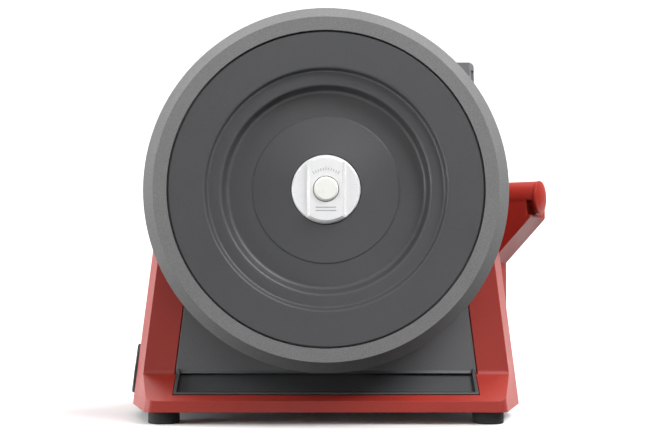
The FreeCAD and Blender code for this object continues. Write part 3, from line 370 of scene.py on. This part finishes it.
def inlay(name, node, body, finish, outlines, inward, proud=0.00008):
    """Thin marks that follow a surface: each outline is draped on it along inward(point)."""
    points, faces = [], []
    for outline in outlines:
        first = len(points)
        count = len(outline)
        for point in outline:
            toward = inward(point)
            place = touch(node, point - toward * 0.02, toward)
            points.append(place - toward * proud)
            points.append(place + toward * 0.0001)
        faces.append([first + 2 * i for i in range(count)])
        faces.append([first + 2 * i + 1 for i in reversed(range(count))])
        for i in range(count):
            here, there = first + 2 * i, first + 2 * ((i + 1) % count)
            faces.append([here, here + 1, there + 1, there])
    mesh = bpy.data.meshes.new(name)
    mesh.from_pydata(points, [], faces)
    mesh.materials.append(finish)
    item = bpy.data.objects.new(name, mesh)
    bpy.context.collection.objects.link(item)
    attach(item, body)


def stroke(centre, across, along, turn, near, far, wide):
    """A straight stroke between two radii of a dial, at an angle from its up direction."""
    out = along * math.cos(turn) + across * math.sin(turn)
    side = across * math.cos(turn) - along * math.sin(turn)
    half = wide / 2
    return [centre + out * near - side * half, centre + out * far - side * half,
            centre + out * far + side * half, centre + out * near + side * half]


def hoop(centre, across, along, radius, wide, steps=20):
    """A ring in a plane, as a row of four-sided outlines."""
    row = []
    for i in range(steps):
        corners = []
        for k, grow in ((i, radius), (i, radius + wide), (i + 1, radius + wide), (i + 1, radius)):
            turn = 2 * math.pi * k / steps
            corners.append(centre + across * math.cos(turn) * grow + along * math.sin(turn) * grow)
        row.append(corners)
    return row


def lock_marks():
    """Generic turn marks on the bar: a fan of ticks over the button and two lines under it."""
    across, up, inward = Vector((1, 0, 0)), Vector((0, 0, 1)), Vector((0, 1, 0))
    face = low_high("lock_bar")[0].y
    centre = Vector((AXIS.x, face, AXIS.z))
    marks = []
    for k in range(-5, 6):
        far = 15.4 if k % 5 == 0 else 14.6
        marks.append(stroke(centre, across, up, math.radians(7.5 * k), 12.8 * MM, far * MM, 0.55 * MM))
    for drop in (12.0, 14.2):
        low = centre - up * drop * MM
        marks.append([low - across * 7 * MM, low + across * 7 * MM,
                      low + across * 7 * MM - up * 0.8 * MM, low - across * 7 * MM - up * 0.8 * MM])
    finish = moulding("lock_mark_ink", srgb(196, 197, 199), 0.5)
    inlay("lock_marks", "lock_bar", "quick_lock", finish, marks, lambda point: inward, 0.00004)


def switch_marks():
    """A white pointer on the knob, and a plain ring and stroke for off and on beside it."""
    out = Vector(next(row["axis"] for row in frame["joints"] if row["name"] == "switch_turn"))
    back = Vector((0, 1, 0))
    up = back.cross(out)
    up = up if up.z > 0 else -up
    low, high = low_high("switch_knob")
    centre = (low + high) / 2
    finish = moulding("switch_white", srgb(224, 224, 220), 0.45)
    pointer = [stroke(centre, back, up, 0.0, 5 * MM, 10 * MM, 1.5 * MM),
               stroke(centre, back, up, 0.0, 10.4 * MM, 15 * MM, 1.5 * MM)]
    inlay("knob_pointer", "switch_knob", "switch_knob", finish, pointer,
          lambda point: -out, 0.00004)
    reach = 26 * MM
    marks = hoop(centre + up * reach, back, up, 1.5 * MM, 0.6 * MM)
    marks.append(stroke(centre, back, up, math.pi / 2, reach - 2 * MM, reach + 2 * MM, 0.7 * MM))
    inlay("switch_marks", "housing", "frame", finish, marks, lambda point: -out)


def leather_seam():
    """The glued scarf joint of the honing leather, slanting across its width."""
    low, high = low_high("honing_leather")
    middle = (low + high) / 2
    radius = (high.x - low.x) / 2

    def rim(share, offset):
        turn = math.radians(128 + 7 * share) + offset / radius
        place = middle + Vector((math.cos(turn), 0, math.sin(turn))) * radius
        place.y = low.y + (high.y - low.y) * (0.04 + 0.92 * share)
        return place

    steps = 10
    marks = []
    for i in range(steps):
        one, two = i / steps, (i + 1) / steps
        marks.append([rim(one, 0), rim(two, 0), rim(two, 0.0005), rim(one, 0.0005)])

    def inward(point):
        toward = middle - point
        toward.y = 0
        return toward.normalized()

    finish = rubber("seam_glue", srgb(62, 44, 30))
    inlay("leather_seam", "honing_leather", "spindle", finish, marks, inward, 0.00003)


lock_marks()
switch_marks()
leather_seam()

# ---------------------------------------------------------------- stage, light and camera


def stage_floor():
    """Pale floor that sweeps up into a backdrop behind the machine."""
    half, back, high, bend, steps = 4.0, 2.2, 3.2, 0.8, 16
    line = [(-3.0, 0.0)]
    for i in range(steps + 1):
        turn = math.pi / 2 * i / steps
        line.append((back - bend + bend * math.sin(turn), bend - bend * math.cos(turn)))
    line.append((back, high))
    points = [(x, y, z) for y, z in line for x in (-half, half)]
    faces = [(2 * i, 2 * i + 1, 2 * i + 3, 2 * i + 2) for i in range(len(line) - 1)]
    mesh = bpy.data.meshes.new("floor")
    mesh.from_pydata(points, [], faces)
    mesh.shade_smooth()
    floor = bpy.data.objects.new("floor", mesh)
    bpy.context.collection.objects.link(floor)
    floor.visible_diffuse = False
    it = Surface("floor", roughness=0.9)
    it.colour((0.92, 0.92, 0.92, 1.0))
    mesh.materials.append(it.material)


def softbox(name, place, aim, wide, tall, power, glossy=True):
    """Soft rectangular light of power watts, aimed at a point."""
    light = bpy.data.lights.new(name, "AREA")
    light.shape = "RECTANGLE"
    light.size = wide
    light.size_y = tall
    light.energy = power
    item = bpy.data.objects.new(name, light)
    item.location = place
    item.rotation_euler = (Vector(aim) - Vector(place)).to_track_quat("-Z", "Y").to_euler()
    item.visible_glossy = glossy
    bpy.context.collection.objects.link(item)


def world_light(strength):
    world = bpy.data.worlds.new("studio")
    world.use_nodes = True
    back = world.node_tree.nodes["Background"]
    back.inputs["Color"].default_value = (1.0, 1.0, 1.0, 1.0)
    back.inputs["Strength"].default_value = strength
    bpy.context.scene.world = world


SENSOR_WIDE = 36.0
LENS = 65.09
CAMERA_BACK = 0.794
CAMERA_HIGH = 0.1064
CAMERA_UP_DEG = 2.68


def camera():
    """Nearly level, a little over half the axis height, looking slightly up."""
    data = bpy.data.cameras.new("camera")
    data.sensor_width = SENSOR_WIDE
    data.lens = LENS
    item = bpy.data.objects.new("camera", data)
    item.location = (AXIS.x, AXIS.y - CAMERA_BACK, CAMERA_HIGH)
    item.rotation_euler = (math.radians(90 + CAMERA_UP_DEG), 0.0, 0.0)
    bpy.context.collection.objects.link(item)
    bpy.context.scene.camera = item


stage_floor()
world_light(0.03)
middle = (AXIS.x, 0.0, 0.14)
softbox("side_left", (-1.5, 0.15, 0.55), middle, 1.0, 1.2, 17)
softbox("high_left", (-1.0, -0.9, 1.4), middle, 0.9, 0.9, 6)
softbox("high_right", (1.0, -0.9, 1.4), middle, 0.9, 0.9, 38)
softbox("front_high", (0.0, -1.8, 1.0), middle, 1.2, 0.8, 7)
softbox("back_right", (1.3, 1.1, 0.9), middle, 0.9, 1.2, 33, glossy=False)
softbox("low_left", (-1.5, -0.7, 0.2), middle, 0.5, 0.35, 10)
softbox("backdrop", (0.0, 0.7, 2.3), (0.0, 2.2, 0.5), 3.0, 0.8, 66)
camera()
bpy.context.scene.view_settings.view_transform = "Standard"
